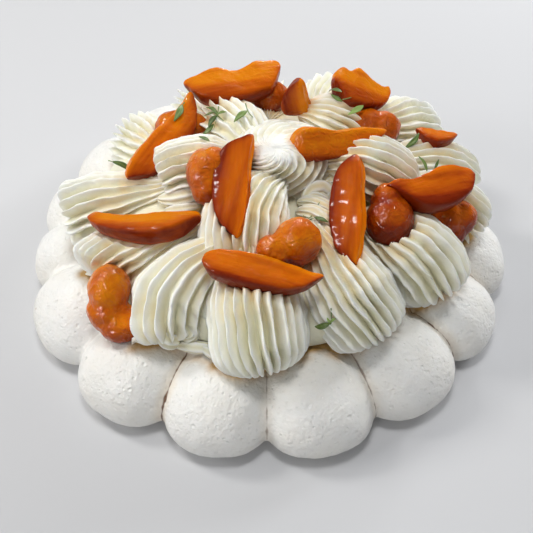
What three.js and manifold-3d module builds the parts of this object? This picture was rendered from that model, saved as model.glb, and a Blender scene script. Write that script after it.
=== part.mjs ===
// A pavlova: a baked meringue base with a ring of domes, a bed of cream, piped fluted cream shells in two
// tiers with a swirled rosette on top, glazed apricot wedges and stewed apricot halves, and thyme leaves.
// Millimetres, +Z up. The origin is the centre of the flat underside. A bearing is an angle in degrees
// seen from above, counter-clockwise from +X, so -90 faces the front.

import * as THREE from 'three';
import { mergeVertices } from 'three/addons/utils/BufferGeometryUtils.js';
import Module from 'manifold-3d';

const wasm = await Module();
wasm.setup();

// ---------------------------------------------------------------- driving dimensions

const GAP = 0.3; // clear air between neighbouring pieces

const BASE_RADIUS = 119.2; // over the meringue domes
const DOME_HEIGHT = 30;
const DOME_REACH = 26.2; // half the length of a dome's round end
const DOME_BULGE_UP = 8; // height at which a dome is widest
const DOME_SPREAD = 1.27; // a dome's half width over its share of the ring
const DOME_SQUARE = 2.6; // 2 for an oval seen from above, more for a squarer one
const FLOOR_RADIUS = 78; // the flat meringue inside the ring of domes
const FLOOR_HEIGHT = 27;
// The domes were piped by eye: the bearing of each crease, and how much further out the dome after it
// reaches.
const DOMES = [
  [-113.1, 1.5], [-89.7, 2], [-65.2, 0.5], [-40.7, 0], [-18.9, 0], [3.6, -1], [25, 0.5], [47, -1],
  [69, 0], [91, -1.5], [113, 0.5], [136, -3], [158.5, -4], [178.9, -4.5], [196.6, 0], [222.2, 2],
];

const BED_RADIUS = 82; // the spread cream under the shells
const BED_TOP = 60;

const FLUTES = 20; // ridges that would go round a whole piped shell
const TOP_FLUTES = 12; // of these, the ones over its top, the underside being pressed flat
const FLUTE_DEPTH = 0.13; // of the shell's radius
const UNDER_SPOKES = 3; // facets across the pressed underside
const FOOT_DIP = 44; // how steeply a shell's foot noses down, in degrees
const FOOT_SQUARE = 2.7; // 2 for a round nose, more for a blunt one
const HEAD_SHARE = 0.36; // how far along the shell its fullest part is
const TAIL_TAPER = 0.6; // how much of its radius it loses by the tail

// One piped shell to a row, the lower tier first. The head is the middle of its fullest part and the tail is
// where it thins out, each as bearing, distance from the centre line and height. "swing" turns the foot
// sideways from the head's own bearing and "twist" turns the ridges along the shell, in degrees.
const SHELLS = [
  { name: 'left_low', head: [-148, 75, 40], tail: [-134, 48, 54], radius: 16, swing: 0, twist: 0 },
  { name: 'left', head: [-173.5, 77, 40], tail: [-166, 46, 54], radius: 17.8, swing: 0, twist: 0 },
  { name: 'back_left', head: [149, 68, 40], tail: [150, 44, 54], radius: 17.7, swing: 0, twist: 0 },
  { name: 'back_west', head: [116, 70, 40], tail: [118, 44, 54], radius: 17.6, swing: 0, twist: 0 },
  { name: 'back', head: [86.5, 66, 40], tail: [88, 42, 54], radius: 17.6, swing: 0, twist: 0 },
  { name: 'back_east', head: [64, 79, 40], tail: [61, 50, 52], radius: 17.8, swing: 0, twist: 0 },
  { name: 'back_right', head: [35, 87, 40], tail: [31, 54, 52], radius: 17.7, swing: 0, twist: 0 },
  { name: 'right_low', head: [-5, 86, 39], tail: [-9, 58, 48], radius: 16.9, swing: 0, twist: 0 },
  { name: 'right_back', head: [11, 86.5, 40], tail: [7, 56, 52], radius: 17.6, swing: 0, twist: 0 },
  { name: 'right', head: [-31.5, 78.5, 40], tail: [-35, 54, 53], radius: 19.5, swing: 0, twist: 0 },
  { name: 'front_left', head: [-123, 77, 40], tail: [-110, 50, 56], radius: 17.8, swing: 4, twist: 20 },
  { name: 'front_right', head: [-60.5, 75.8, 40], tail: [-61.5, 44, 56], radius: 20, swing: 3, twist: 0 },
  { name: 'front', head: [-92.5, 76, 40], tail: [-96, 46, 55], radius: 20.6, swing: 3, twist: 0 },
  { name: 'upper_back', head: [40, 46, 59], tail: [60, 38, 64], radius: 14, swing: -9, twist: 0 },
  { name: 'upper_back_left', head: [120, 29, 57.5], tail: [108, 4, 62], radius: 17, swing: 0, twist: 0 },
  { name: 'upper_right', head: [-5, 49, 58], tail: [-8, 28, 63], radius: 18, swing: 0, twist: 0 },
  { name: 'upper_left', head: [-171, 31, 59], tail: [-140, 12, 63], radius: 17.2, swing: 0, twist: 0 },
  { name: 'upper_front', head: [-105, 40, 58], tail: [-85, 20, 64], radius: 19, swing: 0, twist: 0 },
];

// The rosette on the summit: a round swirl with a smooth middle, which leans to the front left.
const ROSETTE = {
  centre: [8, 1.5, 62.5], lean: [-4, -16], radius: 24, height: 18.5, flutes: 14, twist: 90, smooth: 0.5,
};

// Apricot wedges: the two tips, the way the skin faces, the depth from edge to skin, and the thickness.
// "blunt" fills out the first and the second tip.
const WEDGES = [
  { tips: [[-24, -58, 66], [23, -69, 63]], skin: [0, -0.92, -0.39], depth: 13.5, width: 12, blunt: [0, 0] },
  { tips: [[-76, -23, 53], [-26, -37, 66]], skin: [0, -1, -0.05], depth: 15, width: 12, blunt: [0, 0] },
  {
    tips: [[-62, -12, 64.5], [-37, 41, 72]], skin: [0.74, -0.2, -0.64], depth: 15, width: 12,
    blunt: [0.7, 0],
  },
  { tips: [[-40, 49, 74], [7, 59, 76]], skin: [0, -0.9, -0.43], depth: 19, width: 12, blunt: [0.2, 0.2] },
  { tips: [[-4, -10, 86], [-10, -54, 68]], skin: [-0.92, 0, -0.4], depth: 15.5, width: 12, blunt: [0, 0.2] },
  {
    tips: [[42, -11, 76], [39, -62, 62]], skin: [-0.8, -0.1, -0.6], depth: 14, width: 12,
    blunt: [0.1, 0.1],
  },
  { tips: [[11, -6, 84], [54, 7, 75]], skin: [0, -0.5, -0.85], depth: 13.5, width: 13, blunt: [0.6, 0] },
  { tips: [[33, 46, 82], [61, 49, 70]], skin: [-0.2, -0.9, -0.43], depth: 20, width: 14, blunt: [0.9, 0.1] },
  { tips: [[51, -25, 71], [92, -8, 66]], skin: [0, -0.9, -0.43], depth: 17, width: 13, blunt: [0.1, 0.7] },
  { tips: [[22, 30, 66], [17, 30, 85]], skin: [-0.8, 0.45, -0.4], depth: 13, width: 12, blunt: [0.7, 0] },
  { tips: [[71, 23, 63], [91, 22, 60]], skin: [0, -1, -0.2], depth: 9, width: 8, blunt: [0, 0.2] },
];

// Stewed apricot halves: middle, half sizes across, along and up, and the bearing they lie along.
const HALVES = [
  { at: [-63, -64, 41], half: [12, 15, 12.5], bearing: -90 },
  { at: [9.5, -58, 66], half: [13, 12, 11.5], bearing: -90 },
  { at: [-20, -22, 74], half: [12, 15, 12], bearing: -90 },
  { at: [53, -31.5, 59], half: [11, 13, 13], bearing: -90 },
  { at: [84, -21, 46], half: [11.5, 10, 10], bearing: -90 },
  { at: [51, 29, 60], half: [13.5, 9, 9], bearing: -90 },
  { at: [4, 49, 62], half: [8, 8, 8], bearing: -90 },
  { at: [-41, 29, 58], half: [12.5, 9, 9], bearing: -90 },
];

// Soft lumps where the cream was dragged or pressed: the shell each belongs to, its middle, its half sizes
// along, across and up, and the bearing it lies along.
const FOLDS = [
  { on: 'front_right', at: [24, -35, 60], half: [9, 5, 4.5], bearing: -35 },
  { on: 'front_right', at: [21, -28, 60], half: [9, 4.5, 4.5], bearing: -30 },
  { on: 'front_right', at: [24, -20, 60], half: [8, 5, 5], bearing: 0 },
  { on: 'front_left', at: [-38, -77, 33], half: [7, 5, 5], bearing: 10 },
  { on: 'front_left', at: [-29, -79, 32], half: [9, 5, 3.5], bearing: -10 },
  { on: 'upper_left', at: [-37, -22, 59], half: [14, 4, 3.5], bearing: -10 },
];

// Thyme leaves and stems: the node each is pressed into, its middle, the way its face looks, the way its tip
// points, its length and its width.
const THYME = [
  { on: 'apricot_wedge_03', at: [-43, 18, 74], facing: [-0.5, -0.3, 0.8],
    tip: [2, 4, 1], length: 7, width: 3 },
  { on: 'cream_shell_upper_back_left', at: [-22, 20, 73], facing: [-0.4, 0.1, 0.9],
    tip: [4, -2, 1], length: 6.5, width: 2.6 },
  { on: 'cream_shell_upper_back_left', at: [-21, 25, 72], facing: [-0.4, 0.3, 0.9],
    tip: [-4, 4, -1], length: 6.5, width: 2.4 },
  { on: 'cream_shell_upper_back_left', at: [-10, 18, 76], facing: [0, 0.1, 1],
    tip: [-5, -2, 0], length: 7, width: 3 },
  { on: 'cream_shell_upper_left', at: [-27, -1, 75], facing: [-0.2, 0.3, 0.9],
    tip: [-5, 2, 0], length: 6, width: 2.2 },
  { on: 'cream_shell_left', at: [-68, 1, 58], facing: [0, 0, 1],
    tip: [-5, 0.5, 0.5], length: 7, width: 2.4 },
  { on: 'apricot_wedge_08', at: [35, 39, 76], facing: [0, -0.9, 0.4],
    tip: [3, -2, -4], length: 6.5, width: 2.8 },
  { on: 'cream_shell_upper_back', at: [41, 29, 67], facing: [0, -0.5, 0.8],
    tip: [5, 1, 1], length: 7.5, width: 3.2 },
  { on: 'cream_shell_right_back', at: [69, 18, 58], facing: [-0.1, 0.2, 1],
    tip: [-5, -3, 0], length: 6.5, width: 3 },
  { on: 'cream_shell_right_back', at: [72, 5, 57], facing: [-0.1, -0.3, 1],
    tip: [-3, 3, 1], length: 5.5, width: 1.4 },
  { on: 'cream_shell_front_right', at: [22, -35, 65], facing: [0, -0.3, 1],
    tip: [6, -1, 0], length: 6.5, width: 2.4 },
  { on: 'cream_shell_front_right', at: [19, -31, 65], facing: [0, -0.3, 1],
    tip: [3, 5, 1], length: 9, width: 0.9 },
  { on: 'cream_shell_front_right', at: [25, -79, 45], facing: [0.1, -0.6, 0.8],
    tip: [-5, -1, -1], length: 7, width: 2.6 },
];
const LEAF_THICKNESS = 0.8;
const LEAF_SUNK = 0.35; // how far a leaf is pressed in

// ---------------------------------------------------------------- solids

// A closed geometry as a solid. Where its points meet in one, the faces that had shrunk to nothing go.
function solidOf(geometry) {
  const plain = geometry.clone();
  plain.deleteAttribute('normal');
  plain.deleteAttribute('uv');
  const merged = mergeVertices(plain, 1e-4);
  const corners = merged.index.array;
  const faces = [];
  for (let i = 0; i < corners.length; i += 3) {
    const [a, b, c] = corners.slice(i, i + 3);
    if (a !== b && b !== c && c !== a) faces.push(a, b, c);
  }
  return new wasm.Manifold(new wasm.Mesh({
    numProp: 3,
    vertProperties: merged.attributes.position.array,
    triVerts: new Uint32Array(faces),
  }));
}

function geometryOf(solid) {
  const mesh = solid.getMesh();
  const geometry = new THREE.BufferGeometry();
  geometry.setAttribute('position', new THREE.BufferAttribute(mesh.vertProperties, 3));
  geometry.setIndex(new THREE.BufferAttribute(mesh.triVerts, 1));
  geometry.computeVertexNormals();
  return geometry;
}

// The largest body of a solid: loose scraps that a cut leaves are dropped.
function largestBody(solid) {
  return solid.decompose().reduce((a, b) => (a.volume() > b.volume() ? a : b));
}

// Moves every vertex of a closed geometry.
function reshape(geometry, move) {
  const position = geometry.attributes.position;
  const point = new THREE.Vector3();
  for (let i = 0; i < position.count; i += 1) {
    move(point.fromBufferAttribute(position, i));
    position.setXYZ(i, point.x, point.y, point.z);
  }
  return geometry;
}

function polar([bearing, out, up]) {
  const angle = THREE.MathUtils.degToRad(bearing);
  return new THREE.Vector3(out * Math.cos(angle), out * Math.sin(angle), up);
}

// ---------------------------------------------------------------- meringue

// A solid of revolution from points given as distance from the centre line and height.
function latheSolid(points, segments) {
  const profile = points.map(([out, up]) => new THREE.Vector2(out, up));
  return solidOf(new THREE.LatheGeometry(profile, segments).rotateX(Math.PI / 2));
}

// The dome that a bearing falls in: how far round it that is, from -1 to 1, its half width and its reach.
function domeAt(index) {
  const [crease, further] = DOMES[index];
  let next = DOMES[(index + 1) % DOMES.length][0];
  while (next < crease) next += 360;
  return { from: crease, span: next - crease, reach: DOME_REACH + further };
}

// Distance from the centre line and height of the meringue's skin, level by level from the floor's middle.
function domeLevels(dome, aside) {
  const middleOut = BASE_RADIUS - DOME_REACH;
  const sideways = THREE.MathUtils.degToRad(dome.span / 2) * aside;
  const halfWidth = THREE.MathUtils.degToRad(dome.span / 2) * middleOut * DOME_SPREAD;
  const share = (out) => {
    const ahead = Math.abs(out * Math.cos(sideways) - middleOut) / dome.reach;
    const across = Math.abs(out * Math.sin(sideways)) / halfWidth;
    return (ahead ** DOME_SQUARE + across ** DOME_SQUARE) ** (1 / DOME_SQUARE);
  };
  const widest = (fraction) => {
    // the outermost point of the rounded end in this direction, at a level that is "fraction" as wide
    let out = middleOut;
    while (share(out) < fraction) out += 0.05;
    return out;
  };
  const rise = (out) => (
    DOME_BULGE_UP + (DOME_HEIGHT - DOME_BULGE_UP) * Math.sqrt(Math.max(0, 1 - share(out) ** 2))
  );
  const edge = widest(1);
  const flat = Math.max(widest(0.7), middleOut + 2);
  const lowRing = Math.max(widest(0.93), middleOut + 4);
  const levels = [[0, 0], [flat, 0], [lowRing, 3.5]];
  for (let i = 0; i <= 3; i += 1) {
    const out = middleOut + (edge - middleOut) * Math.cos((i / 3) * Math.PI / 2);
    levels.push([out, i === 0 ? DOME_BULGE_UP : rise(out)]);
  }
  levels.push([FLOOR_RADIUS, FLOOR_HEIGHT], [0, FLOOR_HEIGHT]);
  return levels;
}

function meringueSolid() {
  const steps = 6; // round each dome
  const count = domeLevels(domeAt(0), 0).length;
  const profile = [];
  for (let i = 0; i < count; i += 1) profile.push(new THREE.Vector2(i, i));
  const around = DOMES.length * steps;
  const lathe = new THREE.LatheGeometry(profile, around);
  const position = lathe.attributes.position;
  for (let spoke = 0; spoke <= around; spoke += 1) {
    const wrapped = spoke % around;
    const dome = domeAt(Math.floor(wrapped / steps));
    const part = (wrapped % steps) / steps;
    const levels = domeLevels(dome, Math.sin((part - 0.5) * Math.PI));
    const bearing = dome.from + dome.span * (0.5 + 0.5 * Math.sin((part - 0.5) * Math.PI));
    levels.forEach(([out, up], level) => {
      const point = polar([bearing, out, up]);
      position.setXYZ(spoke * count + level, point.x, point.y, point.z);
    });
  }
  return solidOf(lathe);
}

// ---------------------------------------------------------------- cream

// Points up the outside of the bed, from its rim to its top.
function bedProfile(grow) {
  const steps = 3;
  const points = [];
  for (let i = 0; i <= steps; i += 1) {
    const angle = (i / steps) * Math.PI / 2;
    const out = (BED_RADIUS + grow) * Math.cos(angle) ** 0.9;
    const up = DOME_HEIGHT + 2 + (BED_TOP - DOME_HEIGHT - 2 + grow) * Math.sin(angle) ** 1.1;
    points.push([i === steps ? 0 : out, up]);
  }
  return points;
}

function bedSolid() {
  const underside = DOME_HEIGHT + GAP;
  return latheSolid([[0, underside], [BED_RADIUS, underside], ...bedProfile(0)], 16);
}

// Everything that the shells and fruit rest on, in one smooth round cutter.
function restSolid() {
  const points = [[0, 0], [BASE_RADIUS + 6, 0], [BASE_RADIUS + 6, DOME_BULGE_UP]];
  for (let i = 1; i <= 3; i += 1) {
    const angle = (i / 3) * Math.PI / 2;
    const out = BASE_RADIUS - DOME_REACH + (DOME_REACH + 3) * Math.cos(angle);
    points.push([out, DOME_BULGE_UP + (DOME_HEIGHT - DOME_BULGE_UP) * Math.sin(angle) + GAP * 2]);
  }
  return latheSolid([...points, ...bedProfile(GAP)], 16);
}

// The bent line down the middle of a shell, from its nosed-down foot through its head to its tail.
function shellLine(shell) {
  const head = polar(shell.head);
  const tail = polar(shell.tail);
  const dip = THREE.MathUtils.degToRad(FOOT_DIP);
  const away = polar([shell.head[0] + shell.swing * 5, 1, 0]);
  const foot = head.clone()
    .addScaledVector(away, shell.radius * 0.9 * Math.cos(dip))
    .add(new THREE.Vector3(0, 0, -shell.radius * 0.9 * Math.sin(dip)));
  const t = HEAD_SHARE;
  const bend = head.clone()
    .addScaledVector(foot, -((1 - t) ** 2))
    .addScaledVector(tail, -(t ** 2))
    .divideScalar(2 * t * (1 - t));
  return new THREE.QuadraticBezierCurve3(foot, bend, tail);
}

// Share of its full radius that a shell has along its length: a blunt head on the foot, then a long taper.
function shellSwell(along) {
  const behind = Math.max(0, (HEAD_SHARE - along) / HEAD_SHARE);
  const head = (1 - behind ** FOOT_SQUARE) ** (1 / FOOT_SQUARE);
  const taper = 1 - TAIL_TAPER * (Math.max(0, along - HEAD_SHARE) / (1 - HEAD_SHARE)) ** 1.9;
  return along < HEAD_SHARE ? head : taper;
}

// A piped shell as a closed tube round a bent line, fluted, or smooth over its ridges when it is only a
// cutter.
function shellSolid(shell, { fluted, grow }) {
  const line = shellLine(shell);
  const perFlute = fluted ? 2 : 1;
  const topSpokes = TOP_FLUTES * perFlute;
  const around = topSpokes + UNDER_SPOKES;
  const fan = THREE.MathUtils.degToRad(360 * TOP_FLUTES / FLUTES);
  const tube = new THREE.CylinderGeometry(1, 1, 1, around, 4);
  reshape(tube, (p) => {
    const along = (0.5 - p.y) ** 1.25;
    const rim = Math.hypot(p.x, p.z);
    const turned = (Math.atan2(p.z, p.x) + 2 * Math.PI) % (2 * Math.PI);
    const spoke = Math.round(turned / (2 * Math.PI) * around) % around;
    const onTop = spoke <= topSpokes;
    const fanned = onTop
      ? fan * spoke / topSpokes
      : fan + (2 * Math.PI - fan) * (spoke - topSpokes) / UNDER_SPOKES;
    const angle = (Math.PI - fan) / 2 + fanned + THREE.MathUtils.degToRad(shell.twist) * along;
    const tooth = fluted && onTop && spoke % 2 === 1 ? 1 - FLUTE_DEPTH : 1;
    const radius = rim * (shell.radius * tooth + grow) * shellSwell(along);
    const centre = line.getPoint(along);
    const ahead = line.getTangent(along);
    const across = new THREE.Vector3().crossVectors(new THREE.Vector3(0, 0, 1), ahead).normalize();
    const over = new THREE.Vector3().crossVectors(ahead, across);
    p.copy(centre)
      .addScaledVector(across, radius * Math.cos(angle))
      .addScaledVector(over, radius * Math.sin(angle));
  });
  return solidOf(tube);
}

// The swirl on the summit: a low dome whose ridges turn clockwise on their way out from a smooth middle.
function rosetteSolid({ fluted, grow }) {
  const { centre, lean, radius, height, flutes, twist, smooth } = ROSETTE;
  const around = fluted ? flutes * 2 : 14;
  const dome = new THREE.SphereGeometry(1, around, 6).rotateX(Math.PI / 2);
  reshape(dome, (p) => {
    const fromTop = Math.acos(THREE.MathUtils.clamp(p.z, -1, 1));
    const angle = Math.atan2(p.y, p.x);
    const ridged = THREE.MathUtils.smoothstep(fromTop, smooth, smooth + 0.7);
    const tooth = fluted ? 1 - 0.16 * ridged * Math.abs(Math.sin(angle * flutes / 2)) : 1;
    const turn = angle - THREE.MathUtils.degToRad(twist) * fromTop / (Math.PI / 2);
    const cover = fluted ? 1 : 1 / Math.cos(Math.PI / around);
    const out = Math.sin(fromTop) * cover * (radius * tooth + grow);
    const up = Math.cos(fromTop) * cover * (height * tooth + grow);
    const high = Math.max(0, Math.cos(fromTop)) ** 2;
    p.set(
      centre[0] + lean[0] * high + out * Math.cos(turn),
      centre[1] + lean[1] * high + out * Math.sin(turn),
      centre[2] + up,
    );
  });
  return solidOf(dome);
}

// ---------------------------------------------------------------- apricots

// A wedge from tip to tip: a straight inner edge, two cut faces and a curved skin.
function wedgeSolid(wedge, grow = 0) {
  const [a, b] = wedge.tips.map((tip) => new THREE.Vector3(...tip));
  const axis = b.clone().sub(a);
  const half = axis.length() / 2 + grow;
  axis.normalize();
  const middle = a.clone().add(b).multiplyScalar(0.5);
  const skin = new THREE.Vector3(...wedge.skin);
  skin.addScaledVector(axis, -skin.dot(axis)).normalize();
  const side = new THREE.Vector3().crossVectors(axis, skin);
  const ball = new THREE.SphereGeometry(1, 8, 6).rotateZ(-Math.PI / 2);
  reshape(ball, (p) => {
    const along = THREE.MathUtils.clamp(p.x, -1, 1);
    const ring = Math.hypot(p.y, p.z);
    const angle = Math.atan2(p.z, p.y);
    const blunt = wedge.blunt[along < 0 ? 0 : 1];
    const full = Math.max(0, 1 - Math.abs(along) ** (2 + 6 * blunt)) ** (0.62 - 0.2 * blunt);
    const share = ring < 1e-6 ? 0 : full;
    const depth = (wedge.depth / 2) * share;
    const reach = depth * (1 + Math.cos(angle)) + grow * Math.cos(angle) * (share > 0 ? 1 : 0);
    const narrow = 0.45 + 0.55 * Math.sqrt((1 + Math.cos(angle)) / 2);
    const wide = (wedge.width / 2 * share * narrow + (share > 0 ? grow : 0)) * Math.sin(angle);
    p.copy(middle)
      .addScaledVector(axis, along * half)
      .addScaledVector(skin, reach)
      .addScaledVector(side, wide);
  });
  return solidOf(ball);
}

// A stewed half: a plump lump with a crease along it.
function halfSolid(half, grow = 0) {
  const ball = new THREE.SphereGeometry(1, 8, 6).rotateX(Math.PI / 2);
  reshape(ball, (p) => {
    const crease = 1 - 0.12 * Math.exp(-((p.x / 0.3) ** 2)) * Math.max(0, p.z);
    p.set(
      p.x * (half.half[0] * crease + grow),
      p.y * (half.half[1] * crease + grow),
      p.z * (half.half[2] * crease + grow),
    );
  });
  ball.rotateZ(THREE.MathUtils.degToRad(half.bearing + 90)).translate(...half.at);
  return solidOf(ball);
}

// ---------------------------------------------------------------- lumps and leaves

function foldSolid(fold) {
  const ball = new THREE.SphereGeometry(1, 6, 4).scale(...fold.half);
  return solidOf(ball.rotateZ(THREE.MathUtils.degToRad(fold.bearing)).translate(...fold.at));
}

// A thin wavy leaf lying against a node: it rests on the highest point under it and is pressed in a little.
function leafSolid(leaf, host) {
  const facing = new THREE.Vector3(...leaf.facing).normalize();
  const tip = new THREE.Vector3(...leaf.tip);
  tip.addScaledVector(facing, -tip.dot(facing)).normalize();
  const side = new THREE.Vector3().crossVectors(facing, tip);
  const bothSides = new THREE.MeshBasicMaterial({ side: THREE.DoubleSide });
  const surface = new THREE.Mesh(geometryOf(host), bothSides);
  const middle = new THREE.Vector3(...leaf.at);
  let highest = -Infinity;
  for (let i = -2; i <= 2; i += 1) {
    const from = middle.clone().addScaledVector(tip, leaf.length * 0.2 * i).addScaledVector(facing, 20);
    const hit = new THREE.Raycaster(from, facing.clone().negate()).intersectObject(surface)[0];
    if (hit) highest = Math.max(highest, 20 - hit.distance);
  }
  const half = [leaf.length / 2, leaf.width / 2];
  const outline = [[-1, 0], [-0.3, -0.9], [0.35, -1], [1, 0], [0.35, 1], [-0.3, 0.9]];
  const shape = new THREE.Shape(outline.map(([x, y]) => new THREE.Vector2(x * half[0], y * half[1])));
  const plate = new THREE.ExtrudeGeometry(shape, { depth: LEAF_THICKNESS, bevelEnabled: false, steps: 1 });
  reshape(plate, (p) => {
    const wave = p.y > 0 ? 0.2 : -0.1;
    const level = highest - LEAF_SUNK + p.z + wave * Math.abs(p.y) / half[1];
    const [x, y] = [p.x, p.y];
    p.copy(middle).addScaledVector(tip, x).addScaledVector(side, y).addScaledVector(facing, level);
  });
  return solidOf(plate);
}

// A node's solid with its leaves fused on.
function withLeaves(name, solid) {
  const leaves = THYME.filter((leaf) => leaf.on === name);
  return leaves.reduce((whole, leaf) => whole.add(leafSolid(leaf, solid)), solid);
}

// ---------------------------------------------------------------- assembly

const part = new THREE.Group();

function addNode(name, body, colour, roughness) {
  const solid = withLeaves(name, largestBody(body));
  const material = new THREE.MeshStandardMaterial({ color: colour, roughness, metalness: 0 });
  const mesh = new THREE.Mesh(geometryOf(solid), material);
  mesh.name = name;
  part.add(mesh);
}

function twoDigits(number) {
  return String(number).padStart(2, '0');
}

const rest = restSolid();
const rosetteGrown = rosetteSolid({ fluted: false, grow: GAP });

let fruitGrown = null;
WEDGES.forEach((wedge, i) => {
  let solid = wedgeSolid(wedge).subtract(rest);
  WEDGES.slice(i + 1).forEach((later) => {
    solid = solid.subtract(wedgeSolid(later, GAP));
  });
  addNode('apricot_wedge_' + twoDigits(i + 1), solid, '#d9780f', 0.25);
  const grown = wedgeSolid(wedge, GAP);
  fruitGrown = fruitGrown ? fruitGrown.add(grown) : grown;
});
HALVES.forEach((half, i) => {
  const solid = halfSolid(half).subtract(rest).subtract(fruitGrown);
  addNode('apricot_half_' + twoDigits(i + 1), solid, '#c9640c', 0.2);
});
HALVES.forEach((half) => {
  fruitGrown = fruitGrown.add(halfSolid(half, GAP));
});

addNode('meringue_base', meringueSolid(), '#e9e2d6', 0.6);
addNode('cream_bed', bedSolid(), '#f3efdc', 0.5);

const fixed = rest.add(fruitGrown);
SHELLS.forEach((shell, i) => {
  let solid = shellSolid(shell, { fluted: true, grow: 0 });
  FOLDS.filter((fold) => fold.on === shell.name).forEach((fold) => {
    solid = solid.add(foldSolid(fold));
  });
  solid = solid.subtract(fixed).subtract(rosetteGrown);
  SHELLS.slice(i + 1).forEach((later) => {
    solid = solid.subtract(shellSolid(later, { fluted: false, grow: GAP }));
  });
  addNode('cream_shell_' + shell.name, solid, '#f5f1df', 0.45);
});
addNode('cream_rosette', rosetteSolid({ fluted: true, grow: 0 }).subtract(fixed), '#f5f1df', 0.45);

export default part;
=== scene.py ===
import math
import random

import bmesh
import bpy
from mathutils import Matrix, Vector
from mathutils.bvhtree import BVHTree


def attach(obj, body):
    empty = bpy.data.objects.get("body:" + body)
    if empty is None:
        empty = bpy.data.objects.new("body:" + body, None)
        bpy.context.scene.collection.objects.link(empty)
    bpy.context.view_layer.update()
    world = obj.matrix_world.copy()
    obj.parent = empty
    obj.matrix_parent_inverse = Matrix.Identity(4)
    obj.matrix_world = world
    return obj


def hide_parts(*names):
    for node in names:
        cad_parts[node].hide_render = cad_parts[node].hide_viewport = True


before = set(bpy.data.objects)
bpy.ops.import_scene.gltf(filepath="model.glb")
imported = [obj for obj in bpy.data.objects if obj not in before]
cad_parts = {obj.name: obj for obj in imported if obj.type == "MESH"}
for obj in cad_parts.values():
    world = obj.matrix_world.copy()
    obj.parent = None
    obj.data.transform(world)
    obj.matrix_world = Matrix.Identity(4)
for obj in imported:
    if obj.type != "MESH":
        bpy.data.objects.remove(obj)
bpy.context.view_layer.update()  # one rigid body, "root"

# ---------------------------------------------------------------- meringue base
# The baked base: a disc of meringue with sixteen plump domes piped round its edge. It is dry and pale with a
# faint sugar gloss, pitted by burst bubbles, and crumbly and baked brown where two domes meet, with a dark
# line deep in each crease that is partly crack and partly painted shade. Each dome starts as a sphere that
# is squashed in edit mode; a remesh fuses them with the disc, and a bisect cuts them flat.

MM = 0.001
RING_RADIUS = 93 * MM  # to the middles of the domes
DOME_TOP = 29.6 * MM
DOME_WIDEST = 8 * MM  # height at which a dome is fullest
DOME_REACH = 25.2 * MM  # from a dome's middle out to its nose
DOME_SPREAD = 1.27  # a dome's half width over its share of the ring
DOME_SQUARE = 2.35  # 2 for an oval seen from above, more for a squarer one
DOME_UNDER = 12.6 * MM  # how deep the fullest part would go on below, were it not cut flat
DISC_RADIUS = 84 * MM
DISC_HEIGHT = 27 * MM
MERINGUE_VOXEL = 1.3 * MM
# bearing of each crease in degrees, how much further out the dome after it reaches, in millimetres, and how
# strongly the crease is tinted baked brown and painted with shade
DOMES = [
    (-113.1, 1.5, 1), (-89.7, 2, 0.6), (-65.2, 0.5, 0.7), (-40.7, 0, 1), (-18.9, 0, 0.6), (3.6, -1, 0.5),
    (25, 0.5, 0.3), (47, -1, 0.4), (69, 0, 0.6), (91, -1.5, 0.3), (113, 0.5, 0.4), (136, -3, 0.2),
    (158.5, -4, 0.1), (178.9, -4.5, 0), (196.6, 0, 0), (222.2, 2, 0.1),
]


def polar(bearing, out, up):
    """The point at a bearing in degrees, and a distance out and a height in millimetres."""
    angle = math.radians(bearing)
    return Vector((out * math.cos(angle), out * math.sin(angle), up)) * MM


def rest_all():
    """Leaves nothing selected, so that the next operator acts on the next piece alone."""
    bpy.ops.object.select_all(action="DESELECT")


def pick(*pieces):
    rest_all()
    for piece in pieces:
        piece.select_set(True)
    bpy.context.view_layer.objects.active = pieces[0]


def ball(segments=48, rings=32):
    """A sphere of radius one, which is then stretched, moved or bent into a piece."""
    rest_all()
    bpy.ops.mesh.primitive_uv_sphere_add(segments=segments, ring_count=rings, radius=1)
    return bpy.context.object


def fuse(pieces, name):
    """Joins objects into one, at the origin."""
    pick(*pieces)
    bpy.ops.object.join()
    bpy.ops.object.transform_apply(location=True, rotation=True, scale=True)
    whole = bpy.context.object
    whole.name = name
    whole.data.name = name
    return whole


def finish_with(piece, kind, **settings):
    """Adds a modifier and applies it."""
    pick(piece)
    bpy.ops.object.modifier_add(type=kind)
    modifier = piece.modifiers[-1]
    for key, value in settings.items():
        setattr(modifier, key, value)
    bpy.ops.object.modifier_apply(modifier=modifier.name)


def roughen(piece, *waves, group=""):
    """Pushes the surface in and out by cloudy noises, each of a grain and a height in millimetres."""
    for grain, height in waves:
        clouds = bpy.data.textures.new(piece.name + "_clouds", "CLOUDS")
        clouds.noise_scale = grain * MM
        clouds.noise_depth = 2
        finish_with(
            piece, "DISPLACE", texture=clouds, texture_coords="LOCAL", strength=height * MM,
            vertex_group=group,
        )


def paint(piece, name, values):
    """Stores a value at each point of a piece, from a list or the same all over, for its material."""
    layer = piece.data.attributes.new(name, "FLOAT", "POINT")
    if isinstance(values, float):
        values = [values] * len(piece.data.vertices)
    layer.data.foreach_set("value", values)


def cut_flat(height, threshold=0.1 * MM):
    """Cuts away what is below a height of the active piece, and closes it there."""
    bpy.ops.object.mode_set(mode="EDIT")
    bpy.ops.mesh.select_all(action="SELECT")
    bpy.ops.mesh.bisect(
        plane_co=(0, 0, height), plane_no=(0, 0, 1), use_fill=True, clear_inner=True, threshold=threshold
    )
    bpy.ops.object.mode_set(mode="OBJECT")


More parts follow.
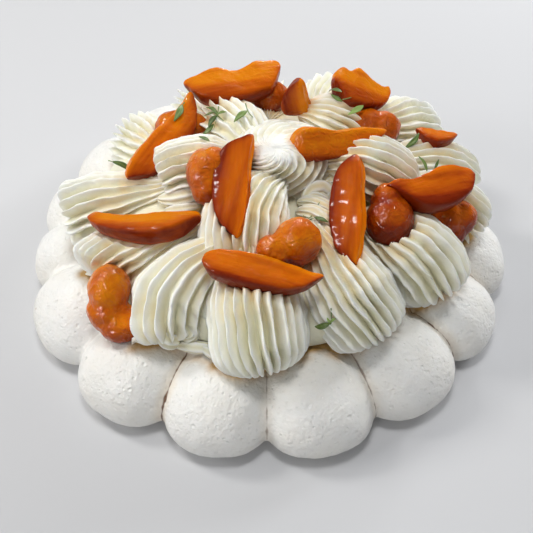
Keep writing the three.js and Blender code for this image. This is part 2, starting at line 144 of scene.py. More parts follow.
domes = []
for place, (crease, further, _) in enumerate(DOMES):
    span = (DOMES[(place + 1) % len(DOMES)][0] - crease) % 360
    dome = ball()
    bpy.ops.object.mode_set(mode="EDIT")
    mesh = bmesh.from_edit_mesh(dome.data)
    for vertex in mesh.verts:
        vertex.select_set(vertex.co.z < -0.001)
        flat = math.hypot(vertex.co.x, vertex.co.y)
        if flat > 0.001:
            sharp = abs(vertex.co.x / flat) ** DOME_SQUARE + abs(vertex.co.y / flat) ** DOME_SQUARE
            vertex.co.xy *= sharp ** (-1 / DOME_SQUARE)
    mesh.select_flush(True)
    bmesh.update_edit_mesh(dome.data)
    flatten = DOME_UNDER / (DOME_TOP - DOME_WIDEST)
    bpy.ops.transform.resize(value=(1, 1, flatten), center_override=(0, 0, 0))
    bpy.ops.object.mode_set(mode="OBJECT")
    half_width = math.radians(span / 2) * RING_RADIUS * DOME_SPREAD
    dome.scale = (DOME_REACH + further * MM, half_width, DOME_TOP - DOME_WIDEST)
    dome.rotation_euler.z = math.radians(crease + span / 2)
    dome.location = polar(crease + span / 2, RING_RADIUS / MM, DOME_WIDEST / MM)
    domes.append(dome)
rest_all()
bpy.ops.mesh.primitive_cylinder_add(vertices=96, radius=DISC_RADIUS, depth=2 * DISC_HEIGHT)
meringue = fuse([bpy.context.object] + domes, "baked_meringue")
finish_with(meringue, "REMESH", mode="VOXEL", voxel_size=MERINGUE_VOXEL)
finish_with(meringue, "SMOOTH", factor=0.5, iterations=2)
roughen(meringue, (24, 1.6), (5, 0.35))
cut_flat(0, 0.001 * MM)
bpy.ops.object.shade_smooth_by_angle(angle=math.radians(50))

CREASE_REACH = 10 * MM  # how far from a crease its distance is stored


def near_crease(vertex):
    """How far off the nearest crease a point is, as a share of CREASE_REACH and below zero on every other
    dome, and how strongly that crease is tinted brown and painted with shade."""
    bearing = math.degrees(math.atan2(vertex.co.y, vertex.co.x))
    turns = [(bearing - crease + 180) % 360 - 180 for crease, _, _ in DOMES]
    place = min(range(len(DOMES)), key=lambda index: abs(turns[index]))
    side = 1 if (place % 2 == 0) == (turns[place] >= 0) else -1
    away = math.radians(abs(turns[place])) * math.hypot(vertex.co.x, vertex.co.y)
    return side * min(1, away / CREASE_REACH), DOMES[place][2]


creases = [near_crease(vertex) for vertex in meringue.data.vertices]
paint(meringue, "off_crease", [off for off, _ in creases])
# how strongly each crease is tinted brown and painted with shade
paint(meringue, "crease_brown_and_shade", [crease_brown_and_shade for _, crease_brown_and_shade in creases])


def new_material(name):
    """A material, its nodes and its main shader."""
    material = bpy.data.materials.new(name)
    material.use_nodes = True
    nodes = material.node_tree.nodes
    return material, nodes, nodes["Principled BSDF"]


def adjust(node, **values):
    """Sets values of a shader node by its property or, with underscores for spaces, by its socket."""
    for key, value in values.items():
        if key in node.bl_rna.properties:
            setattr(node, key, value)
        else:
            node.inputs[key.replace("_", " ")].default_value = value
    return node


def put(nodes, kind, **values):
    return adjust(nodes.new("ShaderNode" + kind), **values)


def wire(*rows):
    """Links sockets: each row is a node, its output, and the node and the input that it goes to."""
    for source, output, target, entry in rows:
        source.id_data.links.new(source.outputs[output], target.inputs[entry])


def spread(nodes, low, high, least=0.0, most=1.0):
    """A node that turns values from low to high into values from least to most."""
    return put(nodes, "MapRange", From_Min=low, From_Max=high, To_Min=least, To_Max=most)


def cloud_group():
    """Soft cloudy patches from 0 to 1, fuller the lower High is."""
    tree = bpy.data.node_groups.new("clouds", "ShaderNodeTree")
    for label in ("Scale", "Detail", "High"):
        tree.interface.new_socket(label, in_out="INPUT", socket_type="NodeSocketFloat")
    tree.interface.new_socket("Patches", in_out="OUTPUT", socket_type="NodeSocketFloat")
    start, end = tree.nodes.new("NodeGroupInput"), tree.nodes.new("NodeGroupOutput")
    coordinates = put(tree.nodes, "TexCoord")
    noise = put(tree.nodes, "TexNoise")
    patches = spread(tree.nodes, 0.35, 0.7)
    wire(
        (coordinates, "Object", noise, "Vector"), (start, "Scale", noise, "Scale"),
        (start, "Detail", noise, "Detail"), (noise, "Fac", patches, "Value"),
        (start, "High", patches, "From Max"), (patches, "Result", end, "Patches"),
    )
    return tree


CLOUDS = cloud_group()


def lay_color(nodes, below, color, factor, output):
    """Mixes a colour over another, or over what a Mix node gives, by a node's output."""
    mix = put(nodes, "Mix", data_type="RGBA", B=color)
    wire((factor, output, mix, "Factor"))
    if isinstance(below, tuple):
        mix.inputs["A"].default_value = below
    else:
        wire((below, "Result", mix, "A"))
    return mix


def mottled_color(nodes, main, patch, scale, share):
    """A colour with soft patches of another."""
    clouds = put(nodes, "Group", node_tree=CLOUDS, Scale=scale, Detail=3.0, High=0.7)
    amount = put(nodes, "Math", operation="MULTIPLY")
    amount.inputs[1].default_value = share
    wire((clouds, "Patches", amount, 0))
    return lay_color(nodes, main, patch, amount, 0)


def tint_where(nodes, below, attribute, color, strength, mottled=0.0):
    """Lays a colour over another wherever an attribute is high, broken up by clouds if mottled."""
    layer = put(nodes, "Attribute", attribute_name=attribute)
    amount = put(nodes, "Math", operation="MULTIPLY")
    amount.inputs[1].default_value = strength
    wire((layer, "Fac", amount, 0))
    if mottled:
        clouds = put(nodes, "Group", node_tree=CLOUDS, Scale=mottled, Detail=4.0, High=0.62)
        broken = put(nodes, "Math", operation="MULTIPLY", use_clamp=True)
        wire((clouds, "Patches", broken, 0), (amount, 0, broken, 1))
        amount = broken
    return lay_color(nodes, below, color, amount, 0)


# a crease's colours, a pale baked brown and a dark line of crack and painted shade deep in it: where each
# starts and where it is gone, as shares of CREASE_REACH off the crease, its strength and its tint
CREASE_BROWN_AND_SHADE = [
    (-0.08, 0.34, 0.4, (0.74, 0.60, 0.42, 1)), (-0.11, -0.045, 0.95, (0.16, 0.07, 0.03, 1)),
]
CREASE_RAGGED = -0.2  # how far the grain of the surface shifts their edges


def baked_meringue():
    """Matt off-white with a sugar gloss and fine pits, baked brown in the creases, with a dark line there
    that is partly crack and partly painted shade.
    """
    material, nodes, skin = new_material("baked_meringue")
    adjust(
        skin, Subsurface_Weight=0.1, Subsurface_Radius=(1.0, 0.85, 0.7), Subsurface_Scale=0.001,
        Coat_Roughness=0.13, Specular_IOR_Level=0.15,
    )
    coordinates = put(nodes, "TexCoord")
    grain = put(nodes, "TexNoise", Scale=620.0, Detail=4.0)
    lumps = put(nodes, "TexNoise", Scale=180.0, Detail=2.0)
    gloss = put(nodes, "TexNoise", Scale=70.0, Detail=3.0)
    bubbles = put(nodes, "TexVoronoi", Scale=150.0, feature="F1")
    pores = put(nodes, "TexVoronoi", Scale=420.0, feature="F1")
    specks = put(nodes, "TexVoronoi", Scale=38.0, feature="F1")
    for texture in (grain, lumps, gloss, bubbles, pores, specks):
        wire((coordinates, "Object", texture, "Vector"))
    color = mottled_color(nodes, (0.9, 0.89, 0.86, 1), (0.88, 0.84, 0.76, 1), 40.0, 0.6)
    off_crease = put(nodes, "Attribute", attribute_name="off_crease")
    crease_brown_and_shade = put(nodes, "Attribute", attribute_name="crease_brown_and_shade")
    distance = put(nodes, "Math", operation="ABSOLUTE")
    ragged = put(nodes, "Math", operation="MULTIPLY_ADD")
    ragged.inputs[1].default_value = CREASE_RAGGED
    wire((off_crease, "Fac", distance, 0), (lumps, "Fac", ragged, 0), (distance, 0, ragged, 2))
    for near, far, share, tint in CREASE_BROWN_AND_SHADE:
        fade = adjust(spread(nodes, near, far, share, 0.0), interpolation_type="SMOOTHSTEP")
        held = put(nodes, "Math", operation="MULTIPLY", use_clamp=True)
        wire((ragged, 0, fade, "Value"), (fade, "Result", held, 0), (crease_brown_and_shade, "Fac", held, 1))
        color = lay_color(nodes, color, tint, held, 0)
    color = tint_where(nodes, color, "near_cream", (0.60, 0.36, 0.13, 1), 1.4, mottled=70.0)
    speck = spread(nodes, 0.02, 0.034, 0.9, 0.0)
    color = lay_color(nodes, color, (0.38, 0.24, 0.13, 1), speck, "Result")
    patchy = spread(nodes, 0.42, 0.62, 0.05, 0.45)
    shine = spread(nodes, 0.3, 0.7, 0.3, 0.55)
    pits = spread(nodes, 0.0, 0.16)
    prick = spread(nodes, 0.0, 0.3)
    pricks = put(nodes, "Bump", Strength=0.7, Distance=0.0004)
    fine = put(nodes, "Bump", Strength=0.8, Distance=0.00065)
    soft = put(nodes, "Bump", Strength=0.6, Distance=0.001)
    holes = put(nodes, "Bump", Strength=0.7, Distance=0.0007)
    wire(
        (specks, "Distance", speck, "Value"), (color, "Result", skin, "Base Color"),
        (gloss, "Fac", patchy, "Value"), (patchy, "Result", skin, "Coat Weight"),
        (lumps, "Fac", shine, "Value"), (shine, "Result", skin, "Roughness"),
        (bubbles, "Distance", pits, "Value"), (pores, "Distance", prick, "Value"),
        (prick, "Result", pricks, "Height"), (pricks, "Normal", fine, "Normal"),
        (grain, "Fac", fine, "Height"), (fine, "Normal", soft, "Normal"),
        (lumps, "Fac", soft, "Height"), (soft, "Normal", holes, "Normal"),
        (pits, "Result", holes, "Height"),
        (holes, "Normal", skin, "Normal"), (holes, "Normal", skin, "Coat Normal"),
    )
    return material


meringue.data.materials.clear()
meringue.data.materials.append(baked_meringue())
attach(meringue, "root")
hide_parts("meringue_base")

# ---------------------------------------------------------------- spread cream
# The bed of whipped cream that the shells are piped on: a low dome spread by hand over the meringue, with a
# soft rounded lip. It shows between the shells as a smooth shaded yellow-white ledge.

BED_RADIUS = 81.6 * MM
BED_FOOT = 29 * MM
BED_TOP = 59.5 * MM
LIP_ROUND = 3 * MM
# the bed is painted with the shade of a groove this deep, darker and yellower than a crest
BED_GROOVE_SHADE = 0.7  # as yellow as a groove between two ridges this deep

bed = ball(128, 64)
bed.name = "spread_cream"
bed.scale = (BED_RADIUS, BED_RADIUS, BED_TOP - BED_FOOT - LIP_ROUND)
bed.location.z = BED_FOOT + LIP_ROUND
bpy.ops.object.transform_apply(location=True, rotation=True, scale=True)
cut_flat(BED_FOOT)
roughen(bed, (18, 1.6))
bpy.ops.object.shade_smooth_by_angle(angle=math.radians(60))


def whipped_cream(name, streaked):
    """Thick satin cream, white on its ridges and darker and yellower in its grooves with painted shade,
    tinted where syrup has run.
    """
    material, nodes, cream = new_material(name)
    adjust(
        cream, Subsurface_Weight=0.2, Subsurface_Radius=(1.0, 0.85, 0.55), Subsurface_Scale=0.001,
        Specular_IOR_Level=0.45,
    )
    # painted shade: darker and yellower the deeper a point lies in a groove
    color = tint_where(nodes, CREST_WHITE, "groove", GROOVE_SHADE_YELLOW, 1.0)
    color = tint_where(nodes, color, "syrup", (0.86, 0.66, 0.34, 1), 0.85, mottled=130.0)
    color = tint_where(nodes, color, "near_fruit", (0.84, 0.50, 0.20, 1), 0.45)
    coordinates = put(nodes, "TexCoord")
    clouds = put(nodes, "TexNoise", Scale=260.0, Detail=3.0)
    shine = spread(nodes, 0.3, 0.7, 0.36, 0.52)
    soft = put(nodes, "Bump", Strength=0.6, Distance=0.0007)
    wire(
        (color, "Result", cream, "Base Color"), (coordinates, "Object", clouds, "Vector"),
        (clouds, "Fac", shine, "Value"), (shine, "Result", cream, "Roughness"),
        (clouds, "Fac", soft, "Height"), (soft, "Normal", cream, "Normal"),
    )
    if streaked:
        stretch = put(nodes, "Mapping", Scale=(14, 420, 1))
        drag = put(nodes, "TexNoise", Scale=1.0, Detail=2.0)
        lines = put(nodes, "Bump", Strength=0.3, Distance=0.0003)
        wire(
            (coordinates, "UV", stretch, "Vector"), (stretch, "Vector", drag, "Vector"),
            (drag, "Fac", lines, "Height"), (soft, "Normal", lines, "Normal"),
            (lines, "Normal", cream, "Normal"),
        )
    return material


# the cream's own colour on a crest, and the darker yellow of painted shade deep in a groove
CREST_WHITE = (0.94, 0.94, 0.885, 1)
GROOVE_SHADE_YELLOW = (0.80, 0.77, 0.55, 1)
paint(bed, "groove", BED_GROOVE_SHADE)
bed.data.materials.append(whipped_cream("spread_cream", streaked=False))
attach(bed, "root")
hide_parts("cream_bed")

# ---------------------------------------------------------------- piped shells
# Eighteen plump shells of whipped cream in two tiers, each pushed out of a star nozzle: a full ridged head
# that noses down on to the meringue, drawn back and up into a thin tail. The nozzle's outline is swept along
# each shell's path, with the squeeze as its radius, and the ridges' edges are then roughened and torn.

RIDGE_DEPTH = 0.19  # of the shell's radius
NOSE_DEPTH = 0.16  # how much deeper the grooves are at its nose
TOOTH_LENGTH = 3.2 * MM  # how far the ridges stick out beyond the grooves at the nose, like teeth
FOOT_DIP = math.radians(44)
FOOT_SQUARE = 3.8  # 2 for a round nose, more for a blunt one
# shells that were cut off level instead, so that their ridges end in a row of teeth
COMBED = ("left", "back_left", "back_west", "upper_left", "upper_back_left", "left_low")
COMBED_DIP = math.radians(14)
COMBED_SQUARE = 9
HEAD_SHARE = 0.36  # how far along its path a shell is fullest
NOSE_REACH = 0.9  # from there to its nose, in radii
TAIL_TAPER = 0.6
TAIL_ROUND = 0.12  # how far its rounded end goes on beyond its tail, as a share of its path
FOOT_STEPS = 16
BODY_STEPS = 42
TAIL_STEPS = 6
SHELL_ROUGH = (1.8, 0.7)  # height of its lumps and of its torn edges, in millimetres
# name, head and tail as bearing, distance out and height, radius, ridges, and how many degrees the nose
# swings aside and the ridges twist
SHELLS = [
    ("left_low", (-148, 75, 40), (-134, 48, 54), 16, 20, 0, 0),
    ("left", (-173.5, 77, 40), (-166, 46, 54), 17.8, 20, 0, 0),
    ("back_left", (149, 68, 40), (160, 47, 54), 17.7, 22, -25, 0),
    ("back_west", (116, 70, 40), (118, 44, 54), 17.6, 22, 0, 0),
    ("back", (86.5, 66, 40), (88, 42, 54), 17.6, 22, 0, 0),
    ("back_east", (64, 79, 40), (61, 50, 52), 17.8, 22, 0, 0),
    ("back_right", (35, 87, 40), (31, 54, 52), 17.7, 22, 0, 0),
    ("right_low", (-5, 86, 39), (-9, 58, 48), 16.9, 22, 0, 0),
    ("right_back", (11, 86.5, 40), (7, 56, 52), 17.6, 22, 0, 0),
    ("right", (-31.5, 78.5, 40), (-35, 54, 53), 19.5, 22, 0, 0),
    ("front_left", (-121, 76.5, 40), (-109, 50, 56), 17.2, 17, 20, 20),
    ("front_right", (-60, 73, 40.5), (-61.5, 44, 56), 19.5, 25, 15, 0),
    ("front", (-92.5, 76, 40), (-96, 46, 55), 20.6, 26, 15, 0),
    ("upper_back", (40, 46, 59), (60, 38, 64), 14, 20, -45, 0),
    ("upper_back_left", (120, 29, 57.5), (108, 4, 62), 17, 19, 0, 0),
    ("upper_right", (-5, 49, 58), (-8, 28, 63), 18, 22, 0, 0),
    ("upper_left", (-171, 31, 59), (-140, 12, 63), 17.2, 22, 0, 0),
    ("upper_front", (-102, 40, 58), (-80, 20, 64), 19.6, 25, 0, 0),
]
# places of the points across one ridge, from crest to crest
ACROSS = (0, 0.06, 0.12, 0.2, 0.3, 0.4, 0.5, 0.6, 0.7, 0.8, 0.88, 0.94)
CREST_WIDTH = 0.28  # of a ridge
GROOVE_FULL = 0.7614  # just above what this width gives in the middle of a groove


def groove_depth(across):
    """0 on a crest and 1 in the middle of a groove, for a place across one ridge from 0 to 1."""
    off = abs((across + 0.5) % 1 - 0.5)
    return (1 - 1 / (1 + (off / CREST_WIDTH) ** 2)) / GROOVE_FULL


def nozzle_outline(ridges, shake):
    """The cream's cross-section, one unit to its ridges, no two of which are quite alike."""
    rest_all()
    bpy.ops.mesh.primitive_circle_add(vertices=ridges * len(ACROSS), radius=1)
    outline = bpy.context.object
    proud = [shake.uniform(0.97, 1.02) for _ in range(ridges + 1)]
    lean = [shake.uniform(-0.12, 0.12) for _ in range(ridges + 1)]
    proud[ridges], lean[ridges] = proud[0], lean[0]
    start = math.atan2(outline.data.vertices[0].co.y, outline.data.vertices[0].co.x)
    turn = math.copysign(1, outline.data.vertices[0].co.xy.angle_signed(outline.data.vertices[1].co.xy))
    for vertex in outline.data.vertices:
        ridge, point = divmod(vertex.index, len(ACROSS))
        across = ACROSS[point]
        place = ridge + across + lean[ridge] * (1 - across) + lean[ridge + 1] * across
        crest = proud[ridge] * (1 - across) + proud[ridge + 1] * across
        angle = start - turn * 2 * math.pi * place / ridges
        out = crest - RIDGE_DEPTH * groove_depth(across)
        vertex.co = (out * math.cos(angle), out * math.sin(angle), 0)
    bpy.ops.object.convert(target="CURVE")
    return bpy.context.object


def shell_path(head, tail, radius, swing, dip):
    """Foot, bend and tail of the bent line from under a shell's nose, through its head, to its tail."""
    head_at = polar(*head)
    tail_at = polar(*tail)
    away = polar(head[0] + swing, 1, 0).normalized()
    nose = NOSE_REACH * radius * MM
    foot_at = head_at + away * nose * math.cos(dip) - Vector((0, 0, nose * math.sin(dip)))
    t = HEAD_SHARE
    bend = (head_at - foot_at * (1 - t) ** 2 - tail_at * t ** 2) / (2 * t * (1 - t))
    return foot_at, bend, tail_at


def squeeze_steps(square):
    """Steps along a shell as pairs: how far along its path, and the share of its full radius there."""
    steps = []
    for i in range(FOOT_STEPS):
        along = HEAD_SHARE * (1 - math.cos(math.pi / 2 * i / FOOT_STEPS) ** 0.8)
        steps.append((along, (1 - (1 - along / HEAD_SHARE) ** square) ** (1 / square)))
    for i in range(BODY_STEPS + 1):
        share = i / BODY_STEPS
        steps.append((HEAD_SHARE + (1 - HEAD_SHARE) * share, 1 - TAIL_TAPER * share ** 1.9))
    for i in range(1, TAIL_STEPS + 1):
        angle = math.pi / 2 * i / TAIL_STEPS
        steps.append((1 + TAIL_ROUND * math.sin(angle), (1 - TAIL_TAPER) * math.cos(angle)))
    return steps


def sweep(name, steps, **settings):
    """A mesh swept along steps of place, radius and tilt, with these settings of the curve."""
    curve = bpy.data.curves.new(name, "CURVE")
    curve.dimensions = "3D"
    for key, value in settings.items():
        setattr(curve, key, value)
    line = curve.splines.new("POLY")
    line.points.add(len(steps) - 1)
    for point, (place, radius, tilt) in zip(line.points, steps):
        point.co = (*place, 1)
        point.radius = radius
        point.tilt = tilt
    swept = bpy.data.objects.new(name, curve)
    bpy.context.collection.objects.link(swept)
    pick(swept)
    bpy.ops.object.convert(target="MESH")
    return bpy.context.object


def face_outward(merge=False):
    """Turns the normals of the active piece outward, with its points that meet merged first if asked."""
    bpy.ops.object.mode_set(mode="EDIT")
    bpy.ops.mesh.select_all(action="SELECT")
    if merge:
        bpy.ops.mesh.remove_doubles(threshold=0.01 * MM)
    bpy.ops.mesh.normals_make_consistent(inside=False)
    bpy.ops.object.mode_set(mode="OBJECT")


def sweep_cream(name, steps, ridges, shake):
    """Pushes the nozzle's outline along a line of steps, and closes the ends of what comes out."""
    outline = nozzle_outline(ridges, shake)
    swept = sweep(name, steps, twist_mode="Z_UP", bevel_mode="OBJECT", bevel_object=outline)
    bpy.data.objects.remove(outline)
    face_outward(merge=True)
    return swept


def ridge_map(swept, ridges, rows):
    """For each point of a sweep, from its own map: its row along it, and how deep it is in a groove."""
    count = len(ACROSS)
    places = [(0, 0.0)] * len(swept.data.vertices)
    layer = swept.data.uv_layers[0].data
    for loop in swept.data.loops:
        along, across = layer[loop.index].uv
        groove = groove_depth(ACROSS[round(across * ridges * count) % count])
        places[loop.vertex_index] = (round(along * (rows - 1)), groove)
    return places


def finish_cream(swept, grooves, rough):
    """Stores where the grooves are, makes the surface uneven and tears the edges of its ridges."""
    group = swept.vertex_groups.new(name="ridges")
    for vertex in swept.data.vertices:
        group.add([vertex.index], (1 - grooves[vertex.index]) ** 1.5, "REPLACE")
    paint(swept, "groove", grooves)
    roughen(swept, (15, rough[0]))
    roughen(swept, (3, rough[1]), group="ridges")
    bpy.ops.object.shade_smooth()
    swept.data.materials.append(PIPED_CREAM)


def pipe_shell(name, head, tail, radius, ridges, swing, twist):
    shake = random.Random(name)
    combed = name in COMBED
    foot, bend, end = shell_path(head, tail, radius, swing, COMBED_DIP if combed else FOOT_DIP)
    squeezes = squeeze_steps(COMBED_SQUARE if combed else FOOT_SQUARE)
    waves = [shake.uniform(0, 2 * math.pi) for _ in range(4)]
    steps = []
    for along, squeeze in squeezes:  # the squeeze comes in small pulses, and the hand sways a little
        place = foot * (1 - along) ** 2 + bend * 2 * along * (1 - along) + end * along ** 2
        ripple = 0.012 * math.sin(19 * along + waves[0]) + 0.008 * math.sin(41 * along + waves[1])
        sway = 1.6 * math.sin(7 * along + waves[2]) + 0.8 * math.sin(23 * along + waves[3])
        out = radius * MM * squeeze * (1 + ripple * squeeze)
        steps.append((place, out, math.radians(twist * along + sway)))
    shell = sweep_cream("piped_shell_" + name, steps, ridges, shake)
    ridge_places = ridge_map(shell, ridges, len(steps))
    for vertex, (row, groove) in zip(shell.data.vertices, ridge_places):
        ahead = min(1, 2 * max(0, 1 - squeezes[row][0] / (1.5 * HEAD_SHARE)))
        back = (steps[min(row + 4, len(steps) - 1)][0] - steps[max(row - 4, 0)][0]).normalized()
        inward = (steps[row][0] - vertex.co) * NOSE_DEPTH
        vertex.co += (inward + back * TOOTH_LENGTH) * groove * ahead
    finish_cream(shell, [groove for _, groove in ridge_places], SHELL_ROUGH)
    return shell


def read_along(values, along):
    """Reads a row of evenly spaced values, from -1 at the first to 1 at the last, as one smooth line."""
    last = len(values) - 1
    place = (max(-1, min(1, along)) + 1) / 2 * last
    index = min(int(place), last - 1)
    share = place - index
    start, end = values[index], values[index + 1]
    rise_in = (end - values[max(index - 1, 0)]) / 2
    rise_out = (values[min(index + 2, last)] - start) / 2
    return (
        start * (1 + 2 * share) * (1 - share) ** 2 + end * (3 - 2 * share) * share ** 2
        + rise_in * share * (1 - share) ** 2 - rise_out * (1 - share) * share ** 2
    )


def drag_fold(number, points, radius, ridges):
    """A strand of cream that the nozzle dragged along after a shell, or let fall beside it."""
    shake = random.Random(number)
    line = [Vector(point) * MM for point in points]
    steps = []
    for i in range(FOLD_STEPS + 1):
        share = i / FOLD_STEPS
        swell = max(0.04, math.sin(math.pi * share)) ** 0.5
        steps.append((read_along(line, 2 * share - 1), radius * MM * swell, 0.0))
    fold = sweep_cream(f"fold_{number}", steps, ridges, shake)
    grooves = [groove for _, groove in ridge_map(fold, ridges, len(steps))]
    finish_cream(fold, grooves, FOLD_ROUGH)
    return fold


PIPED_CREAM = whipped_cream("piped_cream", streaked=True)
FOLD_STEPS = 28
FOLD_ROUGH = (1.4, 0.5)
# strands that were dragged after a shell or fell beside it: the shell, the line that each follows, its
# radius and its ridges
FOLDS = [
    ("front_right", [(33, -44, 59), (27, -39, 60.5), (20, -33, 60.5), (13, -30, 59)], 5, 11),
    ("front_right", [(32, -34, 60), (26, -30, 61), (20, -26, 60.5), (13.5, -24, 59)], 4.2, 10),
    ("front_right", [(16, -23, 60), (20, -19, 62.5), (26, -18, 62.5), (30, -21, 61)], 3.4, 5),
    ("front_right", [(17, -24, 60), (22, -22, 60.5), (28, -25, 60)], 3, 7),
    ("front_right", [(33, -8, 59), (29, -12, 60.5), (25, -16, 60)], 3.2, 8),
    ("front_right", [(33, -14, 60), (30, -18, 61), (27, -22, 60)], 3, 7),
    ("upper_left", [(-47, -19, 56.5), (-40, -21, 58.5), (-32, -20, 60), (-25, -18, 61)], 4.3, 8),
    ("upper_left", [(-44, -25, 55), (-36, -26, 57), (-28, -25, 58)], 3, 6),
    ("front_left", [(-44, -78, 39), (-40, -79, 34), (-36, -78, 30.5)], 4.6, 7),
    ("front_left", [(-34, -74, 40), (-31, -76, 35), (-33, -77, 30)], 4, 6),
    ("front_left", [(-39, -77, 28.5), (-33, -79, 29.5), (-26, -80.5, 30.5), (-22, -81, 32)], 3, 5),
    ("front_left", [(-26, -81, 31), (-20, -84, 31.5), (-14, -86, 32)], 3, 5),
]
shells = {}
for row in SHELLS:
    shell = pipe_shell(*row)
    folds = [drag_fold(number, *fold[1:]) for number, fold in enumerate(FOLDS) if fold[0] == row[0]]
    pick(shell, *folds)
    if folds:
        bpy.ops.object.join()
    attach(shell, "root")
    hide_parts("cream_shell_" + row[0])
    shells[row[0]] = shell

# ---------------------------------------------------------------- rosette
# The swirl of cream on the summit: a round star with a smooth pulled middle, its ridges turning clockwise on
# their way out. A sphere is ridged and twisted by its distance from the top.

ROSETTE_CENTRE = Vector((8, 1.5, 62.5)) * MM
ROSETTE_LEAN = Vector((-4, -16, 0)) * MM  # how far its whorl is off its middle
ROSETTE_RADIUS = 24 * MM
ROSETTE_HEIGHT = 18.5 * MM
ROSETTE_RIDGES = 18
ROSETTE_TWIST = math.radians(135)
ROSETTE_SMOOTH = 0.3

rosette = ball(ROSETTE_RIDGES * len(ACROSS), 90)
rosette.name = "summit_rosette"
rosette_groove = []
for vertex in rosette.data.vertices:
    from_top = math.acos(max(-1, min(1, vertex.co.z)))
    angle = math.atan2(vertex.co.y, vertex.co.x)
    fade = max(0, min(1, (from_top - ROSETTE_SMOOTH) / 0.5))
    fade = fade * fade * (3 - 2 * fade)
    groove = groove_depth(angle * ROSETTE_RIDGES / (2 * math.pi)) * fade
    rosette_groove.append(groove)
    streak = math.sin(31 * angle) + math.sin(47 * angle + 1) + 0.7 * math.sin(64 * angle + 2)
    share = 1 - RIDGE_DEPTH * groove - 0.006 * streak * (1 - fade) * min(1, from_top / 0.4)
    turned = angle - ROSETTE_TWIST * from_top / (math.pi / 2)
    out = math.sin(from_top) * ROSETTE_RADIUS * share
    high = max(0, math.cos(from_top))
    vertex.co = ROSETTE_CENTRE + ROSETTE_LEAN * high ** 2 + Vector((
        out * math.cos(turned), out * math.sin(turned), math.cos(from_top) * ROSETTE_HEIGHT * share))
paint(rosette, "groove", rosette_groove)
for corner in rosette.data.uv_layers[0].data:
    corner.uv = (corner.uv[1], corner.uv[0])  # along its ridges first, as on the shells
roughen(rosette, (14, 2.2), (2.4, 0.4))
bpy.ops.object.shade_smooth()
rosette.data.materials.append(PIPED_CREAM)
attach(rosette, "root")
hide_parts("cream_rosette")

# ---------------------------------------------------------------- apricot wedges
# Eleven wedges of poached apricot under a clear glaze. Across, each is a strip where the stone lay, two cut
# faces and the rounded skin; along, its inner edge and its skin wander between the two tips. A sphere with
# its poles at the tips is moved on to that form. The flesh is bright at the stone and darker at the skin,
# where its own deeper colour is darkened further with painted shade.

WEDGE_RINGS = 30
GRAIN_DRAWN = 0.15  # how much of its length along a wedge the grain has, which draws it out
# half way round a section, from the middle of the stone's strip to the middle of the skin: how far out from
# the inner edge, and the half thickness there
SECTION = [
    (0.035, 0), (0.015, 0.2), (0, 0.36), (0.05, 0.45), (0.34, 0.64), (0.62, 0.82), (0.84, 0.96),
    (0.925, 0.9), (0.98, 0.56), (1, 0),
]
# tips, the way the skin faces, depth from edge to skin and thickness in millimetres, how dark it is, and how
# thick its syrup lies
WEDGES = [
    ((-23.5, -57.5, 67.5), (23, -69, 63), (0, -0.92, -0.39), 13.5, 12, 0, 0.25),
    ((-76, -23, 53), (-26, -37, 66), (0, -1, -0.05), 15, 12, -0.18, 0.2),
    ((-62, -12, 64.5), (-37, 41, 72), (0.74, -0.2, -0.64), 15, 12, 0.06, 0.3),
    ((-40, 49, 74), (7, 59, 76), (0, -0.9, -0.43), 19, 12, -0.2, 0.25),
    ((-4, -10, 85.4), (-10, -54, 68), (-0.92, 0, -0.4), 15.5, 12, 0.22, 0.05),
    ((42, -11, 76), (38.5, -62, 62), (-0.8, -0.1, -0.6), 14, 12, 0.24, 0.03),
    ((11, -6, 84), (54, 7, 75), (0, -0.5, -0.85), 13.5, 13, -0.15, 0.8),
    ((33, 46, 82), (61, 49, 70), (-0.2, -0.9, -0.43), 20, 14, -0.1, 0.5),
    ((51, -25, 71), (90.5, -8.5, 66), (0, -0.9, -0.43), 17, 13, 0.24, 0.2),
    ((22, 30, 66), (17, 30, 85), (-0.8, 0.45, -0.4), 13, 12, -0.1, 0.6),
    ((71, 23, 63), (91, 22, 60), (0, -1, -0.2), 9, 8, 0, 0.4),
]
